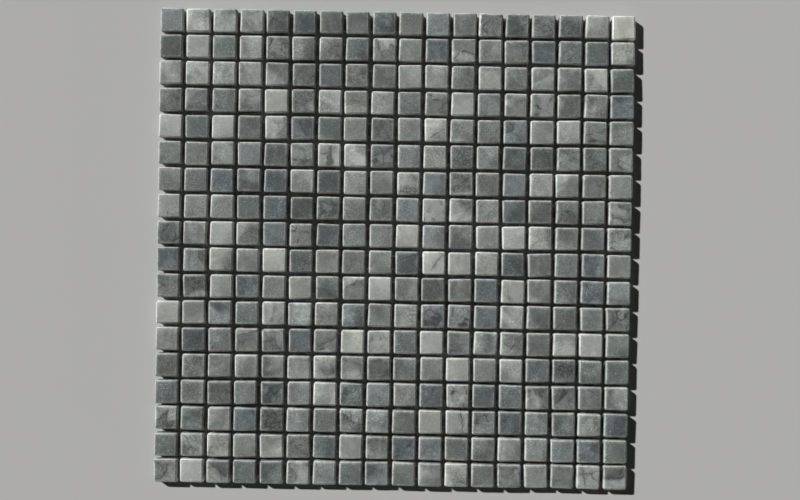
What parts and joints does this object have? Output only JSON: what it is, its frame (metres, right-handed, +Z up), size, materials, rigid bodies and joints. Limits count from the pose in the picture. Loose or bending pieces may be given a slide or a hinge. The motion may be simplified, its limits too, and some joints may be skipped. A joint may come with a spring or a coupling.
{
  "type": "mosaic tile sheet",
  "caption": "Square sheet of small tumbled stone chips in mixed greys, set in a square grid with open joints on a woven net backing.",
  "frame": {"origin": "middle of the sheet's underside, on the back of the net", "axes": "+Z up through the sheet, out of the chips' faces; X along the rows of chips; Y across the rows"},
  "size_m": [0.305, 0.305, 0.0074],
  "materials": {
    "stone_chips": "tumbled, matte to satin",
    "net_backing": "woven glass-fibre net, resin coated"
  },
  "bodies": {
    "root": {"chip_row_01": "stone_chips", "chip_row_02": "stone_chips", "chip_row_03": "stone_chips", "chip_row_04": "stone_chips", "chip_row_05": "stone_chips", "chip_row_06": "stone_chips", "chip_row_07": "stone_chips", "chip_row_08": "stone_chips", "chip_row_09": "stone_chips", "chip_row_10": "stone_chips", "chip_row_11": "stone_chips", "chip_row_12": "stone_chips", "chip_row_13": "stone_chips", "chip_row_14": "stone_chips", "chip_row_15": "stone_chips", "chip_row_16": "stone_chips", "chip_row_17": "stone_chips", "chip_row_18": "stone_chips", "net_panel_1_1": "net_backing", "net_panel_1_2": "net_backing", "net_panel_1_3": "net_backing", "net_panel_2_1": "net_backing", "net_panel_2_2": "net_backing", "net_panel_2_3": "net_backing", "net_panel_3_1": "net_backing", "net_panel_3_2": "net_backing", "net_panel_3_3": "net_backing"}
  },
  "joints": []
}
